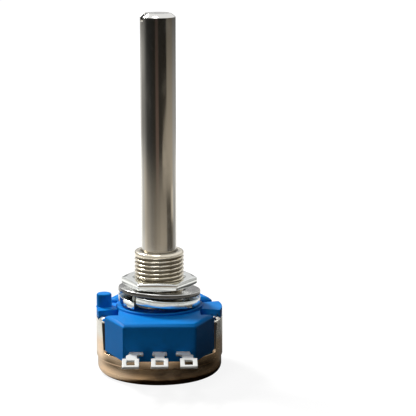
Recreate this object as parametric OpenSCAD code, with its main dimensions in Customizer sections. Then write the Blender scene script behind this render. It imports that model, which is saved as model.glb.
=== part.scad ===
// Single-turn carbon rotary potentiometer, 24 mm class: long plain shaft,
// threaded mounting bushing, loose mounting hardware, three solder lugs.
// Millimetres. The origin is the centre of the flat rear face of the cover,
// on the shaft axis. +Z runs up the shaft, the lugs leave toward -Y and the
// locating peg stands on the -X side.

/* [Shaft] */
// Diameter of the round shaft (quarter inch stock)
shaft_d = 6.35; // [5:0.05:7]
// Length of the shaft above the mounting face
shaft_reach = 53; // [20:0.5:80]
// Diameter of the journal that turns inside the bushing
journal_d = 6.0; // [4.6:0.05:6.1]
// Gap between the shaft's shoulder and the top of the bushing
shoulder_gap = 0.25; // [0.05:0.05:0.5]
// Height of the chamfer at the shaft end
shaft_chamfer = 0.65; // [0.2:0.05:1]
// Width of the screwdriver slot
slot_w = 1.0; // [0.6:0.1:1.6]
// Depth of the screwdriver slot
slot_depth = 1.4; // [0.6:0.1:2.4]
// Turn of the screwdriver slot about the axis at mid travel
slot_turn = 22; // [0:1:90]

/* [Bushing] */
// Outside diameter of the M9 x 0.75 thread
thread_d = 9.0; // [8:0.1:10]
// Length of the bushing above the mounting face
thread_len = 10; // [6:0.5:14]
// Rounding of the bushing's upper rim
rim_round = 0.4; // [0.2:0.05:0.6]
// Radial running clearance between shaft and bore
bore_clear = 0.03; // [0.01:0.01:0.08]
// Width across flats of the flange held in the housing
flange_af = 12.2; // [11:0.1:12.6]
// Thickness of the flange held in the housing
flange_t = 1.6; // [1:0.1:2]

/* [Mounting hardware] */
// Width across flats of the nut
nut_af = 12.0; // [11:0.1:14]
// Thickness of the nut
nut_t = 1.45; // [1.2:0.05:2.4]
// Drop of the nut's chamfer at its corners
nut_chamfer = 0.22; // [0.1:0.01:0.4]
// Turn of the nut about the axis
nut_turn = -3; // [-30:1:30]
// Free height left between the leaning washer and the nut
nut_gap = 0.1; // [0.05:0.05:3]
// Outside diameter of both washers
washer_d = 15.0; // [13:0.1:17]
// Hole diameter of both washers
washer_hole = 9.6; // [9.4:0.1:10.5]
// Thickness of the flat washer
flat_t = 0.75; // [0.5:0.05:1.2]
// Lean of the loose flat washer, raised on the lug side, degrees
flat_lean_front = 3.5; // [0:0.1:5]
// Lean of the loose flat washer, raised on the peg side, degrees
flat_lean_side = 3.2; // [0:0.1:5]
// Thickness of the split lock washer
lock_t = 1.3; // [0.8:0.05:1.6]
// Free rise of the lock washer from its low end to its raised end
lock_rise = 1.09; // [0.5:0.01:1.4]
// Lean of the loose lock washer, raised on the peg side, degrees
lock_lean = 4.3; // [0:0.1:6]
// Direction of the lock washer's raised end about the axis, degrees
lock_end = -124; // [-170:1:-60]
// Angle of the split in the lock washer
lock_split = 3.5; // [2:0.5:8]

/* [Housing] */
// Height of the mounting face above the rear of the cover
seat_z = 12.55; // [12.4:0.05:16]
// Radius of the raised mounting face
seat_r = 7.9; // [7.5:0.1:9]
// Height of the raised mounting face above the plateau
seat_h = 0.5; // [0.2:0.05:0.8]
// Distance of the flat front face from the axis
front_y = 13.1; // [12.6:0.1:15]
// Half width of the flat front face
front_half = 6.4; // [6.2:0.1:8]
// Distance of the flat back face from the axis
back_y = 11.3; // [10.5:0.1:13]
// Half width of the flat back face
back_half = 7.3; // [6.4:0.1:8]
// Overhang of the rounded parts beyond the cover's rim, inward
body_inset = 0.05; // [0:0.05:0.3]
// Depth of the four claw slots below the plateau
claw_slot_depth = 1.4; // [1:0.1:1.6]
// Distance of the front and back blocks' inner walls from the middle plane
slot_wall_y = 5.9; // [5.4:0.1:6.5]
// Half angle of the two side webs between the slots
web_half = 17; // [14:1:19]
// Inner end of the claw slots, from the axis
slot_inner_x = 7.4; // [7.3:0.1:8.2]
// Chamfer of the upper outer edges
edge = 0.55; // [0.2:0.05:0.7]
// Rounding of the upright edges of the front and back faces
upright = 0.5; // [0.2:0.1:1]
// Rounding of the upright edges beside the claw slots
slot_round = 0.1; // [0.05:0.05:0.3]

/* [Locating peg] */
// Diameter of the locating peg
peg_d = 2.75; // [2:0.05:2.8]
// Distance of the locating peg from the axis
peg_x = 10.1; // [9.5:0.1:10.2]
// Height of the locating peg above the plateau
peg_h = 2.5; // [1.5:0.1:4]

/* [Cover] */
// Outside diameter of the cover at its rim
cover_d = 23.1; // [22.8:0.1:25]
// Sheet thickness of the cover
sheet = 0.5; // [0.3:0.05:0.6]
// Height of the rim at the front and back
rim_z = 4.85; // [4.4:0.05:5.2]
// Height of the shallow step around the cup
step_z = 3.35; // [2.4:0.05:3.8]
// Drop in radius below the step
step_in = 0.2; // [0.05:0.05:0.3]
// Radius of the drawn bottom corner
corner_r = 1.5; // [0.8:0.1:2]
// Half width of a side arm at the rim
arm_low = 5.6; // [5:0.1:6.5]
// Half width of a side arm at its claws
arm_high = 4.9; // [4.4:0.1:5.2]
// Reach of the bent claws, inward from the outside of the cover
claw_len = 2.6; // [1.5:0.1:3]

/* [Lugs] */
// Height of the top face of the lugs above the rear of the cover
lug_top = 7.0; // [6.9:0.05:7.2]
// Sheet thickness of the lugs
lug_t = 0.5; // [0.3:0.05:0.6]
// Droop of the lugs outside the housing, degrees
lug_droop = 3; // [0:0.5:6]
// Spacing of the lugs where they leave the housing
lug_pitch = 4.15; // [3.8:0.05:4.4]
// Sideways jog of the outer lugs outside the housing
lug_jog = 0.9; // [0:0.05:1.5]
// Width of the shoulder at the housing face
shoulder_w = 2.6; // [2.4:0.1:3.2]
// Length of the shoulder outside the housing face
shoulder_len = 0.8; // [0.3:0.1:1.5]
// Width of the neck
neck_w = 1.7; // [1:0.1:2.2]
// Width of the soldering flange
flange_w = 3.0; // [2.4:0.1:3.6]
// Distance of the soldering flange from the housing face
flange_from = 3.0; // [2:0.1:4]
// Length of the soldering flange
flange_len = 4.3; // [3.6:0.1:5]
// Width of the wire hole
wire_w = 1.4; // [1:0.1:1.8]
// Length of the wire hole
wire_len = 2.6; // [1.5:0.1:2.8]

/* [Element] */
// Thickness of the laminate element board
board_t = 1.0; // [0.6:0.1:1.2]
// Thickness of the printed layers
print_t = 0.08; // [0.05:0.01:0.15]
// Inner radius of the resistive track
track_in = 6.3; // [5.8:0.1:6.6]
// Distance of the resistive track's outer edge inside the rotor's edge
track_margin = 0.5; // [0.4:0.1:0.8]
// Inner radius of the collector ring
collector_in = 4.1; // [3.9:0.1:4.2]
// Outer radius of the collector ring
collector_out = 5.3; // [5.2:0.1:5.6]
// Half angle of the gap in the resistive track on the lug side
track_gap = 30; // [28:1:36]

/* [Rotor] */
// Clearance between the rotor disc and the skirt around it
rotor_clear = 1.3; // [1.2:0.1:1.5]
// Thickness of the rotor disc
rotor_t = 1.4; // [1:0.1:2]
// Thickness of the wiper's spring sheet
wiper_t = 0.2; // [0.1:0.05:0.3]
// Gap left between a wiper finger and its printed track
wiper_gap = 0.05; // [0.02:0.01:0.1]
// Half angle of the lug on the stop plate
stop_lug_half = 12; // [8:1:16]
// Mechanical travel to each side of the middle
travel_half = 150; // [120:5:155]

/* [Hidden] */
$fn = 96;

// Levels of the casing
plateau_z = seat_z - seat_h;
claw_floor = plateau_z - claw_slot_depth;
cover_r = cover_d / 2;
low_r = cover_r - step_in;
body_r = cover_r - body_inset;
ledge_r = cover_r - sheet - 0.05;
skirt_r = low_r - sheet - 0.05;
skirt_in = skirt_r - 0.6;
skirt_z = sheet + 2.4;
rotor_r = skirt_in - rotor_clear;
track_out = rotor_r - track_margin;
block_z = rim_z + 0.4;
arm_top = claw_floor - 0.2;

// Levels of the element, from the lugs upward
lug_bot = lug_top - lug_t;
board_bot = lug_top + print_t;
board_top = board_bot + board_t;
board_r = skirt_in - 0.1;
board_hole = collector_in - 0.3;
tongue_half = lug_pitch + 1.45;
tongue_y = front_y - 1.4;
rivet_y = front_y - 2.5;
rivet_r = 0.7;
head_r = 1.15;
tab_w = 2.2;
tab_in = rivet_y - 1.3;
cavity_r = track_out + 0.4;
cavity_top = board_top + 0.7;
stake_r = cavity_r + 0.6;
stake_angles = [30, 90, 150];

// Shaft seating inside the housing
flange_z = claw_floor - 1.3;
bore_r = journal_d / 2 + bore_clear;
recess_r = 6.8;
thrust_t = 0.25;
thrust_z = flange_z - thrust_t - 0.05;
stop_t = 0.6;
stop_z = thrust_z - stop_t;
stop_post_half = 180 - travel_half - stop_lug_half;
post_in = 4.7;
stop_hub_r = post_in - 0.3;
key_clear = 0.02;
spigot_d = journal_d - 0.8;
spigot_af = spigot_d - 1;
nose_d = spigot_d - 1;
nose_af = nose_d - 0.8;

// Rotor levels, from the lugs downward
hub_top = lug_bot - 0.15;
hub_r = collector_in - 0.5;
hub_bot = sheet + 1.7;
disc_top = hub_top - 0.95;
clip_t = 0.4;
shaft_bot = sheet + 0.5;
finger_x = 3.6;
peg_spots = [[0, -(hub_r + 0.85)], [hub_r + 0.85, 0], [-finger_x, track_in - 0.4]];

// The loose washers: the lock washer touches the mounting face at its lowest
// point, and the flat washer touches the lock washer at its highest
washer_r = washer_d / 2;
hole_r = washer_hole / 2;
lock_steps = 96;
lock_span = 360 - lock_split;
function lock_angle(k) = lock_end + lock_span * (1 - k / lock_steps);
function lock_helix(k) = lock_rise * (0.78 * k / lock_steps + 0.22 * pow(k / lock_steps, 6));
function lock_lift(k, r) = lock_helix(k) - r * cos(lock_angle(k)) * tan(lock_lean);
function flat_slope(a, r) = -r * (cos(a) * tan(flat_lean_side) + sin(a) * tan(flat_lean_front));
lock_low = min([for (k = [0:lock_steps]) min(lock_lift(k, washer_r), lock_lift(k, hole_r))]);
lock_z = seat_z - lock_low;
flat_rise = max([for (k = [0:lock_steps], r = [hole_r, washer_r])
  lock_z + lock_lift(k, r) + lock_t - flat_slope(lock_angle(k), r)]);
flat_z = flat_rise + 0.01;
flat_top = flat_z + flat_t / (cos(flat_lean_front) * cos(flat_lean_side));
nut_r = nut_af / 2 / cos(30);
nut_z = flat_top + nut_gap + nut_r * norm([tan(flat_lean_front), tan(flat_lean_side)]);

// Points of an arc, as a list
function arc(cx, cy, r, a0, a1, n = 8) =
  [for (k = [0:n]) [cx + r * cos(a0 + (a1 - a0) * k / n), cy + r * sin(a0 + (a1 - a0) * k / n)]];

// Points of a fillet of radius r at corner b, between its neighbours a and c
function fillet(a, b, c, r, n = 5) =
  let (u = (a - b) / norm(a - b), v = (c - b) / norm(c - b), half = acos(u * v) / 2,
    mid = b + (u + v) / norm(u + v) * r / sin(half),
    p = b + u * r / tan(half) - mid, q = b + v * r / tan(half) - mid,
    start = atan2(p[1], p[0]), turn = (atan2(q[1], q[0]) - start + 540) % 360 - 180)
  [for (k = [0:n]) mid + r * [cos(start + turn * k / n), sin(start + turn * k / n)]];

// Plain disc between two heights
module slab(r, z0, z1) {
  translate([0, 0, z0]) cylinder(r = r, h = z1 - z0);
}

// Ring between two heights
module tube(ro, ri, z0, z1) {
  difference() {
    slab(ro, z0, z1);
    slab(ri, z0 - 1, z1 + 1);
  }
}

// Flat outline raised between two heights
module raise(z0, z1) {
  translate([0, 0, z0]) linear_extrude(height = z1 - z0) children();
}

// Round bar with two flats between two heights
module double_d(d, af, z0, z1) {
  intersection() {
    slab(d / 2, z0, z1);
    translate([-d, -af / 2, z0]) cube([2 * d, af, z1 - z0]);
  }
}

// Wedge used to cut a sector out of a round shape, from angle a0 to a1
module wedge(r, a0, a1) {
  steps = ceil((a1 - a0) / 30);
  polygon(concat([[0, 0]], [for (k = [0:steps])
    1.5 * r * [cos(a0 + (a1 - a0) * k / steps), sin(a0 + (a1 - a0) * k / steps)]]));
}

// Flat ring sector from angle a0 to a1
module sector(ro, ri, a0, a1) {
  intersection() {
    difference() {
      circle(r = ro);
      circle(r = ri);
    }
    wedge(ro, a0, a1);
  }
}

// The turned shaft: slotted end, plain length, journal, keyed spigot and rotor nose
module shaft() {
  top = seat_z + shaft_reach;
  r = shaft_d / 2;
  color("silver") difference() {
    union() {
      slab(journal_d / 2, thrust_z, seat_z + thread_len + shoulder_gap);
      slab(r, seat_z + thread_len + shoulder_gap, top - shaft_chamfer);
      translate([0, 0, top - shaft_chamfer])
        cylinder(r1 = r, r2 = r - shaft_chamfer * 1.25, h = shaft_chamfer);
      double_d(spigot_d, spigot_af, hub_top, thrust_z);
      double_d(nose_d, nose_af, shaft_bot, hub_top);
    }
    rotate(slot_turn) translate([-r - 1, -slot_w / 2, top - slot_depth])
      cube([shaft_d + 2, slot_w, slot_depth + 1]);
  }
}

// Bushing: thread cylinder with a rounded rim and a hexagonal anchor flange
module bushing() {
  r = thread_d / 2;
  top = seat_z + thread_len;
  color("lightgray") difference() {
    union() {
      rotate_extrude() polygon(concat([[0, flange_z], [r, flange_z]],
        arc(r - rim_round, top - rim_round, rim_round, 0, 90), [[0, top]]));
      translate([0, 0, flange_z]) cylinder(r = flange_af / 2 / cos(30), h = flange_t, $fn = 6);
    }
    slab(bore_r, flange_z - 1, top + 1);
    translate([0, 0, top - 0.15]) cylinder(r1 = bore_r, r2 = bore_r + 0.3, h = 0.3);
  }
}

// Hexagon nut, chamfered above and below
module hex_nut() {
  r = nut_r + 0.01;
  inner = nut_af / 2 - 0.1;
  color("gainsboro") translate([0, 0, nut_z]) rotate(nut_turn) difference() {
    intersection() {
      cylinder(r = nut_r, h = nut_t, $fn = 6);
      rotate_extrude() polygon([[0, 0], [inner, 0], [r, nut_chamfer], [r, nut_t - nut_chamfer],
        [inner, nut_t], [0, nut_t]]);
    }
    translate([0, 0, -1]) cylinder(d = thread_d + 0.04, h = nut_t + 2);
    translate([0, 0, nut_t - 0.2]) cylinder(r1 = thread_d / 2, r2 = thread_d / 2 + 0.5, h = 0.5);
  }
}

// Flat washer, lying askew on the raised end of the lock washer
module flat_washer() {
  color("darkgray") translate([0, 0, flat_z]) rotate([-flat_lean_front, flat_lean_side, 0])
    tube(washer_r, hole_r, 0, flat_t);
}

// Split lock washer: a square wire turned into one open helical turn
module lock_washer() {
  ends = lock_steps * 4;
  points = [for (k = [0:lock_steps], c = [[hole_r, 0], [washer_r, 0], [washer_r, 1], [hole_r, 1]])
    [c[0] * cos(lock_angle(k)), c[0] * sin(lock_angle(k)), lock_z + lock_lift(k, c[0]) + c[1] * lock_t]];
  sides = [for (k = [0:lock_steps - 1], i = [0:3], half = [0, 1])
    let (a = 4 * k + i, b = 4 * k + (i + 1) % 4)
    half == 0 ? [a, a + 4, b + 4] : [a, b + 4, b]];
  caps = [[0, 1, 2], [0, 2, 3], [ends + 2, ends + 1, ends], [ends + 3, ends + 2, ends]];
  color("silver") polyhedron(points = points, faces = concat(sides, caps));
}

// Outline of a flat-faced block beyond a row of claw slots: y is the distance of its
// face from the axis, half is half the face's width
module block_outline(y, half) {
  side_x = sqrt(body_r * body_r - slot_wall_y * slot_wall_y);
  corners = [[-side_x, slot_wall_y], [-half, y], [half, y], [side_x, slot_wall_y]];
  radii = [slot_round, upright, upright, slot_round];
  polygon([for (k = [0:3]) each
    fillet(corners[(k + 3) % 4], corners[k], corners[(k + 1) % 4], radii[k])]);
}

// Block from the rim to the plateau, with its chamfered upper edge
module block(y, half) {
  raise(block_z, plateau_z - edge) block_outline(y, half);
  hull() {
    raise(plateau_z - edge - 0.1, plateau_z - edge) block_outline(y, half);
    raise(plateau_z - 0.01, plateau_z) offset(delta = -edge) block_outline(y, half);
  }
}

// Blocks, webs, ledge and peg of the housing, before it is hollowed
module housing_solid() {
  // front block, which carries the lugs, and back block
  mirror([0, 1, 0]) block(front_y, front_half);
  block(back_y, back_half);
  // middle column between the slots
  translate([-slot_inner_x, -slot_wall_y - edge, claw_floor - 1])
    cube([2 * slot_inner_x, 2 * (slot_wall_y + edge), plateau_z - claw_floor + 1]);
  // side webs between the slots
  raise(claw_floor, plateau_z) for (side = [0, 180])
    sector(body_r, slot_inner_x - 1, side - web_half, side + web_half);
  // ledge under the claws, and the skirt inside the cup
  rotate_extrude() polygon([[0, rim_z - 1], [ledge_r, rim_z - 1 + sheet], [ledge_r, claw_floor - 0.45],
    [ledge_r - 0.45, claw_floor], [0, claw_floor]]);
  slab(skirt_r, skirt_z, rim_z);
  // raised mounting face
  slab(seat_r, plateau_z, seat_z);
  // locating peg, with a small chamfer
  translate([-peg_x, 0, 0]) {
    slab(peg_d / 2, plateau_z - 0.5, plateau_z + peg_h - 0.2);
    translate([0, 0, plateau_z + peg_h - 0.2]) cylinder(r1 = peg_d / 2, r2 = peg_d / 2 - 0.2, h = 0.2);
  }
}

// Moulded housing: plateau, four claw slots, locating peg, lug block and stops
module housing() {
  color("royalblue") union() {
    difference() {
      housing_solid();
      // pocket for the element board, open to the rear, with its front tongue
      slab(skirt_in, skirt_z - 1, board_top);
      translate([-tongue_half - 0.1, -tongue_y - 0.1, skirt_z - 1])
        cube([2 * tongue_half + 0.2, tongue_y, board_top - skirt_z + 1]);
      // room over the rivet heads
      translate([-tongue_half, -tongue_y, board_top - 1])
        cube([2 * tongue_half, tongue_y - tab_in + 0.2, 1.6]);
      slab(cavity_r, board_top - 1, cavity_top);
      slab(recess_r, cavity_top - 1, flange_z);
      // seat of the bushing
      translate([0, 0, flange_z - 0.01])
        cylinder(r = flange_af / 2 / cos(30), h = flange_t + 0.01, $fn = 6);
      slab(thread_d / 2, flange_z, seat_z + 1);
      // slits for the lugs
      for (k = [-1:1])
        translate([k * lug_pitch - tab_w / 2, -front_y - 1, lug_bot]) cube([tab_w, 3, lug_t]);
    }
    // stop post for the shaft
    raise(stop_z - 0.1, flange_z) sector(recess_r + 0.2, post_in, -90 - stop_post_half, -90 + stop_post_half);
    // stakes that hold the element board
    for (a = stake_angles) rotate(a) translate([stake_r, 0, 0]) {
      slab(0.5, board_bot - 0.3, board_top + 0.2);
      slab(0.75, board_bot - 0.35, board_bot);
    }
  }
}

// Cup of the cover with its shallow step, drawn as a profile
module cup() {
  inner = low_r - sheet;
  rotate_extrude() polygon(concat([[0, 0]],
    arc(low_r - corner_r, corner_r, corner_r, -90, 0, 12),
    [[low_r, step_z - 0.15], [cover_r, step_z], [cover_r, rim_z], [cover_r - sheet, rim_z],
      [cover_r - sheet, step_z + 0.2], [inner, step_z + 0.05]],
    arc(low_r - corner_r, corner_r, corner_r - sheet, 0, -90, 12), [[0, sheet]]));
}

// Side arms that rise from the rim, narrowing toward the claws
module arms() {
  intersection() {
    tube(cover_r, cover_r - sheet, rim_z - 0.5, arm_top);
    rotate([90, 0, 90]) translate([0, 0, -cover_r]) linear_extrude(height = cover_d)
      polygon([[-arm_low, rim_z - 1], [arm_low, rim_z - 1], [arm_low, rim_z],
        [arm_high, arm_top + 1], [-arm_high, arm_top + 1], [-arm_low, rim_z]]);
  }
}

// One claw, bent over the ledge in its slot, from angle a0 to a1
module claw(a0, a1) {
  bend = 0.9;
  mid_r = cover_r - bend;
  mid_z = claw_floor + sheet - bend;
  rotate(a0) rotate_extrude(angle = a1 - a0) polygon(concat(
    [[cover_r - sheet, arm_top - 1], [cover_r, arm_top - 1]],
    arc(mid_r, mid_z, bend, 0, 90),
    [[cover_r - claw_len, claw_floor + sheet], [cover_r - claw_len, claw_floor]],
    arc(mid_r, mid_z, bend - sheet, 90, 0)));
}

// Drawn cover: cup, two side arms and four claws
module rear_cover() {
  a0 = web_half + 0.8;
  a1 = asin(arm_high / cover_r);
  color("tan") union() {
    cup();
    arms();
    for (side = [0, 180]) {
      claw(side + a0, side + a1);
      claw(side - a1, side - a0);
    }
  }
}

// Part of a lug outside the housing, flat: shoulder, neck jogged by jog, flange with its hole
module lug_blade(x, jog) {
  y1 = -shoulder_len;
  y2 = -flange_from;
  y3 = y2 - flange_len;
  far = x + jog;
  difference() {
    union() {
      raise(-lug_t, 0) translate([x - shoulder_w / 2, y1]) square([shoulder_w, shoulder_len + 0.02]);
      raise(-lug_t, 0) polygon([[x - neck_w / 2, y1 + 0.2], [x + neck_w / 2, y1 + 0.2],
        [far + neck_w / 2 - 0.3 * min(jog, 0), y1 - 0.6], [far + neck_w / 2 - 0.3 * min(jog, 0), y2 - 0.2],
        [far - neck_w / 2 - 0.3 * max(jog, 0), y2 - 0.2], [far - neck_w / 2 - 0.3 * max(jog, 0), y1 - 0.6]]);
      raise(-lug_t, 0) translate([far - flange_w / 2, y3]) square([flange_w, flange_len]);
    }
    raise(-lug_t - 1, 1) translate([far - wire_w / 2, (y2 + y3 - wire_len) / 2])
      square([wire_w, wire_len]);
  }
}

// A tinned solder lug at x: riveted tab inside the housing, drooping blade outside
module lug(x, jog) {
  color("whitesmoke") difference() {
    union() {
      raise(lug_bot, lug_top) translate([x - tab_w / 2, -front_y]) square([tab_w, front_y - tab_in]);
      translate([0, -front_y, lug_top]) rotate([lug_droop, 0, 0]) lug_blade(x, jog);
    }
    translate([x, -rivet_y, 0]) slab(rivet_r, lug_bot - 1, lug_top + 1);
  }
}

module terminal_left() {
  lug(-lug_pitch, -lug_jog);
}

module terminal_middle() {
  lug(0, 0);
}

module terminal_right() {
  lug(lug_pitch, lug_jog);
}

// Rivet that clamps a lug to the element board
module rivet(x) {
  color("goldenrod") translate([x, -rivet_y, 0]) {
    slab(rivet_r, lug_bot - 0.1, board_top + 0.1);
    slab(head_r, lug_bot - 0.4, lug_bot);
    slab(head_r - 0.1, board_top, board_top + 0.35);
  }
}

module rivet_left() {
  rivet(-lug_pitch);
}

module rivet_middle() {
  rivet(0);
}

module rivet_right() {
  rivet(lug_pitch);
}

// Laminate board that carries the printed element on its rear side
module element_board() {
  color("saddlebrown") difference() {
    union() {
      slab(board_r, board_bot, board_top);
      translate([-tongue_half, -tongue_y, board_bot]) cube([2 * tongue_half, tongue_y, board_t]);
    }
    slab(board_hole, board_bot - 1, board_top + 1);
    for (k = [-1:1])
      translate([k * lug_pitch, -rivet_y, 0]) slab(rivet_r, board_bot - 1, board_top + 1);
    for (a = stake_angles)
      rotate(a) translate([stake_r, 0, 0]) slab(0.5, board_bot - 1, board_top + 1);
  }
}

// Printed carbon track
module resistive_track() {
  color("black") raise(lug_top, board_bot)
    sector(track_out, track_in, -90 + track_gap, 270 - track_gap);
}

// Printed collector ring with its lead to the middle lug
module collector_ring() {
  color("dimgray") raise(lug_top, board_bot) difference() {
    union() {
      circle(r = collector_out);
      translate([-0.6, -rivet_y]) square([1.2, rivet_y]);
      translate([-1, -rivet_y - 1]) square([2, rivet_y - tab_in + 1]);
    }
    circle(r = collector_in);
    translate([0, -rivet_y]) circle(r = rivet_r);
  }
}

// Printed silver pad between one end of the track and its lug, side is 1 or -1
module pad(side) {
  foot = [lug_pitch - 1, lug_pitch + 1];
  color("silver") mirror([side < 0 ? 1 : 0, 0, 0]) difference() {
    union() {
      raise(lug_top, board_bot) sector(track_out, track_in, -90 + track_gap - 8, -90 + track_gap);
      raise(lug_top, board_bot) intersection() {
        polygon([[2.6, -7], [4, -7], [foot[1], -tab_in], [foot[1], -rivet_y - 1],
          [foot[0], -rivet_y - 1], [foot[0], -tab_in]]);
        wedge(2 * front_y, -90, -90 + track_gap);
      }
    }
    translate([lug_pitch, -rivet_y, 0]) slab(rivet_r, lug_top - 1, board_bot + 1);
  }
}

module pad_left() {
  pad(-1);
}

module pad_right() {
  pad(1);
}

// Moulded rotor that carries the wiper
module rotor() {
  color("dimgray") union() {
    difference() {
      union() {
        slab(hub_r, hub_bot, hub_top);
        slab(rotor_r, disc_top - rotor_t, disc_top);
      }
      double_d(nose_d + 2 * key_clear, nose_af + 2 * key_clear, hub_bot - 1, hub_top + 1);
    }
    // stakes through the wiper's sheet
    for (p = peg_spots) translate([p[0], p[1], 0]) {
      slab(0.35, disc_top - 0.2, disc_top + wiper_t + 0.1);
      slab(0.5, disc_top + wiper_t, disc_top + wiper_t + 0.2);
    }
  }
}

// A sprung finger rising from the sheet to its track, between y0 and y1
module finger(y0, y1) {
  tip = lug_top - wiper_gap;
  rise = tip - disc_top - wiper_t;
  line = [[-finger_x, 0], [0.8 - finger_x, 0], [-0.5, rise - 0.12], [-0.2, rise], [0.2, rise],
    [0.75, rise - 0.3]];
  last = len(line) - 1;
  translate([0, y1, disc_top]) rotate([90, 0, 0]) linear_extrude(height = y1 - y0)
    polygon(concat(line, [for (k = [last:-1:0]) line[k] + [0, wiper_t]]));
}

// Wiper: a spring sheet with one pair of fingers on each track
module wiper_spring() {
  track_mid = (track_in + track_out) / 2;
  collector_mid = (collector_in + collector_out) / 2;
  color("khaki") difference() {
    union() {
      tube(hub_r + 1.6, hub_r + 0.05, disc_top, disc_top + wiper_t);
      translate([-finger_x - 0.6, hub_r + 0.5, disc_top])
        cube([1.2, track_mid + 0.6 - hub_r - 0.5, wiper_t]);
      for (side = [-1, 1]) {
        finger(track_mid + side * 0.35 - 0.25, track_mid + side * 0.35 + 0.25);
        finger(collector_mid + side * 0.27 - 0.2, collector_mid + side * 0.27 + 0.2);
      }
    }
    for (p = peg_spots) translate([p[0], p[1], 0]) slab(0.35, disc_top - 1, disc_top + wiper_t);
    slab(hub_r + 0.05, disc_top - 1, hub_top);
  }
}

// Stop plate keyed to the shaft, whose lug meets the post in the housing
module stop_plate() {
  color("lightsteelblue") difference() {
    raise(stop_z, thrust_z) union() {
      circle(r = stop_hub_r);
      sector(recess_r - 0.3, 1, 90 - stop_lug_half, 90 + stop_lug_half);
    }
    double_d(spigot_d + 2 * key_clear, spigot_af + 2 * key_clear, stop_z - 1, thrust_z + 1);
  }
}

// Thin thrust washer between the stop plate and the bushing
module thrust_washer() {
  color("ivory") tube(stop_hub_r, journal_d / 2 + 0.05, thrust_z, thrust_z + thrust_t);
}

// Push-on clip that holds the rotor on the nose of the shaft
module end_clip() {
  color("lightsteelblue") tube(hub_r - 0.4, nose_d / 2 + key_clear, hub_bot - clip_t, hub_bot);
}

// Insulating disc on the floor of the cover
module insulator_disc() {
  color("bisque") slab(low_r - corner_r - 0.3, sheet, sheet + 0.2);
}

shaft();
bushing();
hex_nut();
flat_washer();
lock_washer();
housing();
rear_cover();
terminal_left();
terminal_middle();
terminal_right();
rivet_left();
rivet_middle();
rivet_right();
element_board();
resistive_track();
collector_ring();
pad_left();
pad_right();
rotor();
wiper_spring();
stop_plate();
thrust_washer();
end_clip();
insulator_disc();
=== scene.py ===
# %% [markdown]
# # Dressing a rotary potentiometer for the studio
#
# The solids of the potentiometer are already made: a long plain shaft, a threaded
# bushing with its nut and two loose washers, a blue moulded housing, a drawn metal
# cover and three solder lugs. This notebook keeps them as a fixed frame and works on
# what a camera sees: soft edges, the turns of the thread, and the finish of each
# metal and plastic. Every length is in metres, and every piece stays where its solid is.

# %% Load the solids
import math

import bmesh
import bpy
import numpy as np
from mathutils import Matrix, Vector


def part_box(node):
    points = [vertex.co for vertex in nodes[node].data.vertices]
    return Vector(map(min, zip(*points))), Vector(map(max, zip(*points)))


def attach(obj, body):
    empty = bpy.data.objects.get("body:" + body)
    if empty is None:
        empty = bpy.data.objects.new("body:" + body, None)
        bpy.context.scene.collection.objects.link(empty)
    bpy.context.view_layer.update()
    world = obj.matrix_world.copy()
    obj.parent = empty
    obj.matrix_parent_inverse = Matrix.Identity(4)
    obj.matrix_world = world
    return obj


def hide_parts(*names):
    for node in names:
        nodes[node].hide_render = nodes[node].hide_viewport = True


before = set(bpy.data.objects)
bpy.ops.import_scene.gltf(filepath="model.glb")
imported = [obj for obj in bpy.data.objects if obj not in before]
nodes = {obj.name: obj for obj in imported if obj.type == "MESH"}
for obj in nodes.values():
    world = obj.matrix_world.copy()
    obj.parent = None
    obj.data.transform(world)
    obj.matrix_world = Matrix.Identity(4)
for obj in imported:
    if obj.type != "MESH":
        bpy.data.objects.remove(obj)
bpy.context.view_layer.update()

MM = 0.001

# %% [markdown]
# ## The camera
#
# The picture was taken from about 30 cm away, a little above the unit, through a long
# lens. A camera can be placed by eye, or solved from edges whose sizes are known. The
# second way is used here, because then every outline can be set against the picture:
# the place, the pitch and the yaw below come from the shaft, the nut and the cover.

# %% Place the camera
FRAME_PX = 416
FOCAL_PX = 1700.0
SENSOR_MM = 36.0
CAMERA_PLACE = (0.0, -0.3018, 0.09125)
PITCH, YAW = math.radians(11.42), math.radians(1.69)

lens = bpy.data.cameras.new("studio_camera")
lens.sensor_width = SENSOR_MM
lens.lens = FOCAL_PX / FRAME_PX * SENSOR_MM
lens.clip_start, lens.clip_end = 0.01, 20.0
camera = bpy.data.objects.new("studio_camera", lens)
bpy.context.collection.objects.link(camera)
camera.location = CAMERA_PLACE
forward = Vector((math.sin(YAW) * math.cos(PITCH), math.cos(YAW) * math.cos(PITCH), -math.sin(PITCH)))
camera.rotation_euler = forward.to_track_quat("-Z", "Y").to_euler()
bpy.context.scene.camera = camera
bpy.context.scene.view_settings.view_transform = "Standard"
print("lens", round(lens.lens, 1), "mm")

# %% [markdown]
# ## Shader maths as plain expressions
#
# A finish is a small network of nodes. Wiring each node by hand is slow to read, so a
# socket is wrapped in a class whose operators add the Math nodes: `1 - mask` or
# `0.2 + 0.1 * grain` then reads as it would on paper.


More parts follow.
